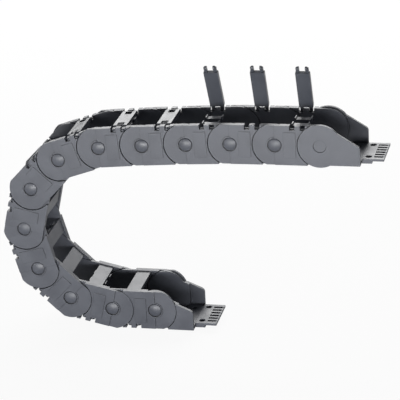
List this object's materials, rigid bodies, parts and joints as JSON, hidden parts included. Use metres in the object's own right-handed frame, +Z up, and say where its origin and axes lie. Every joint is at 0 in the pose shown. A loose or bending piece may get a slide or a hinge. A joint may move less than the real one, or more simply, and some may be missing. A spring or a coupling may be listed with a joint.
{
  "type": "cable drag chain",
  "caption": "Bent cable drag chain of pinned side-band links with hinged clip-in lids, clip-in separators, and an end bracket with a slotted strain-relief comb at each end",
  "frame": {"origin": "centre of the bounding box's bottom, on the plane that the lower strand and the fixed bracket stand on", "axes": "+X along the straight strands towards the brackets, +Y across the chain towards the side that the open lids are hinged on, +Z up"},
  "size_m": [0.489, 0.0774, 0.3432],
  "materials": {
    "link_plastic": "moulded dark charcoal glass-filled polyamide with a soft sheen",
    "lid_plastic": "moulded dark charcoal glass-filled polyamide with a soft sheen",
    "separator_plastic": "moulded dark charcoal polyamide",
    "bracket_plastic": "moulded dark charcoal glass-filled polyamide with a soft sheen",
    "comb_plastic": "moulded dark charcoal glass-filled polyamide"
  },
  "bodies": {
    "fixed_end": {"bracket_fixed": "bracket_plastic", "comb_fixed": "comb_plastic"},
    "link_12": {"link_12": "link_plastic"},
    "link_11": {"link_11": "link_plastic", "separator_11_near": "separator_plastic", "separator_11_far": "separator_plastic"},
    "link_10": {"link_10": "link_plastic"},
    "link_09": {"link_09": "link_plastic", "separator_09_near": "separator_plastic", "separator_09_far": "separator_plastic"},
    "link_08": {"link_08": "link_plastic"},
    "link_07": {"link_07": "link_plastic", "separator_07_near": "separator_plastic", "separator_07_far": "separator_plastic"},
    "link_06": {"link_06": "link_plastic"},
    "link_05": {"link_05": "link_plastic", "separator_05_near": "separator_plastic", "separator_05_far": "separator_plastic"},
    "link_04": {"link_04": "link_plastic"},
    "link_03": {"link_03": "link_plastic", "separator_03_near": "separator_plastic", "separator_03_far": "separator_plastic"},
    "link_02": {"link_02": "link_plastic"},
    "link_01": {"link_01": "link_plastic", "separator_01_near": "separator_plastic", "separator_01_far": "separator_plastic"},
    "moving_end": {"bracket_moving": "bracket_plastic", "comb_moving": "comb_plastic"},
    "lid_01": {"lid_01": "lid_plastic"},
    "lid_02": {"lid_02": "lid_plastic"},
    "lid_03": {"lid_03": "lid_plastic"},
    "lid_04": {"lid_04": "lid_plastic"},
    "lid_05": {"lid_05": "lid_plastic"},
    "lid_06": {"lid_06": "lid_plastic"},
    "lid_07": {"lid_07": "lid_plastic"},
    "lid_08": {"lid_08": "lid_plastic"},
    "lid_09": {"lid_09": "lid_plastic"},
    "lid_10": {"lid_10": "lid_plastic"},
    "lid_11": {"lid_11": "lid_plastic"},
    "lid_12": {"lid_12": "lid_plastic"}
  },
  "joints": [
    {"name": "pivot_12", "type": "hinge", "parent": "fixed_end", "child": "link_12", "pos_m": [-0.05196, 0, 0.0255], "axis": [0, 1, 0], "range_deg": [0, 32.5]},
    {"name": "pivot_11", "type": "hinge", "parent": "link_12", "child": "link_11", "pos_m": [-0.10796, 0, 0.0255], "axis": [0, -1, 0], "range_deg": [-19.5, 13]},
    {"name": "pivot_10", "type": "hinge", "parent": "link_11", "child": "link_10", "pos_m": [-0.16253, 0, 0.0381], "axis": [0, -1, 0], "range_deg": [-1.5, 31]},
    {"name": "pivot_09", "type": "hinge", "parent": "link_10", "child": "link_09", "pos_m": [-0.20281, 0, 0.077], "axis": [0, -1, 0], "range_deg": [-1.5, 31]},
    {"name": "pivot_08", "type": "hinge", "parent": "link_09", "child": "link_08", "pos_m": [-0.2173, 0, 0.13109], "axis": [0, -1, 0], "range_deg": [-4.5, 28]},
    {"name": "pivot_07", "type": "hinge", "parent": "link_08", "child": "link_07", "pos_m": [-0.20471, 0, 0.18565], "axis": [0, -1, 0], "range_deg": [-1.5, 31]},
    {"name": "pivot_06", "type": "hinge", "parent": "link_07", "child": "link_06", "pos_m": [-0.16581, 0, 0.22594], "axis": [0, -1, 0], "range_deg": [-5, 27.5]},
    {"name": "pivot_05", "type": "hinge", "parent": "link_06", "child": "link_05", "pos_m": [-0.1127, 0, 0.24371], "axis": [0, -1, 0], "range_deg": [-18.5, 14]},
    {"name": "pivot_04", "type": "hinge", "parent": "link_05", "child": "link_04", "pos_m": [-0.05687, 0, 0.2481], "axis": [0, 1, 0], "range_deg": [-1, 31.5]},
    {"name": "pivot_03", "type": "hinge", "parent": "link_04", "child": "link_03", "pos_m": [-0.00098, 0, 0.25152], "axis": [0, 1, 0], "range_deg": [-1, 31.5]},
    {"name": "pivot_02", "type": "hinge", "parent": "link_03", "child": "link_02", "pos_m": [0.05497, 0, 0.25396], "axis": [0, 1, 0], "range_deg": [-2, 30.5]},
    {"name": "pivot_01", "type": "hinge", "parent": "link_02", "child": "link_01", "pos_m": [0.11097, 0, 0.25445], "axis": [0, 1, 0], "range_deg": [-0.5, 32]},
    {"name": "pivot_00", "type": "hinge", "parent": "link_01", "child": "moving_end", "pos_m": [0.16697, 0, 0.25445], "axis": [0, 1, 0], "range_deg": [0, 32.5]},
    {"name": "lid_hinge_01", "type": "hinge", "parent": "link_01", "child": "lid_01", "pos_m": [0.13977, 0.0343, 0.27525], "axis": [-1, 0, 0], "range_deg": [-68, 37]},
    {"name": "lid_hinge_02", "type": "hinge", "parent": "link_02", "child": "lid_02", "pos_m": [0.08359, 0.0343, 0.27501], "axis": [-1, 0, -0.0087], "range_deg": [-68, 37]},
    {"name": "lid_hinge_03", "type": "hinge", "parent": "link_03", "child": "lid_03", "pos_m": [0.02689, 0.0343, 0.27356], "axis": [-0.999, 0, -0.0436], "range_deg": [-68, 37]},
    {"name": "lid_hinge_04", "type": "hinge", "parent": "link_04", "child": "lid_04", "pos_m": [-0.0294, 0.0343, 0.27062], "axis": [-0.9981, 0, -0.061], "range_deg": [0, 105]},
    {"name": "lid_hinge_05", "type": "hinge", "parent": "link_05", "child": "lid_05", "pos_m": [-0.08562, 0.0343, 0.2667], "axis": [-0.9969, 0, -0.0785], "range_deg": [0, 105]},
    {"name": "lid_hinge_06", "type": "hinge", "parent": "link_06", "child": "lid_06", "pos_m": [-0.1451, 0.0343, 0.2548], "axis": [-0.9483, 0, -0.3173], "range_deg": [0, 105]},
    {"name": "lid_hinge_07", "type": "hinge", "parent": "link_07", "child": "lid_07", "pos_m": [-0.19966, 0.0343, 0.22082], "axis": [-0.6947, 0, -0.7193], "range_deg": [0, 105]},
    {"name": "lid_hinge_08", "type": "hinge", "parent": "link_08", "child": "lid_08", "pos_m": [-0.23109, 0.0343, 0.16383], "axis": [-0.225, 0, -0.9744], "range_deg": [0, 105]},
    {"name": "lid_hinge_09", "type": "hinge", "parent": "link_09", "child": "lid_09", "pos_m": [-0.23036, 0.0343, 0.09943], "axis": [0.2588, 0, -0.9659], "range_deg": [0, 105]},
    {"name": "lid_hinge_10", "type": "hinge", "parent": "link_10", "child": "lid_10", "pos_m": [-0.19769, 0.0343, 0.04314], "axis": [0.7193, 0, -0.6947], "range_deg": [0, 105]},
    {"name": "lid_hinge_11", "type": "hinge", "parent": "link_11", "child": "lid_11", "pos_m": [-0.1407, 0.0343, 0.01171], "axis": [0.9744, 0, -0.225], "range_deg": [0, 105]},
    {"name": "lid_hinge_12", "type": "hinge", "parent": "link_12", "child": "lid_12", "pos_m": [-0.08076, 0.0343, 0.0047], "axis": [1, 0, 0], "range_deg": [0, 105]}
  ]
}
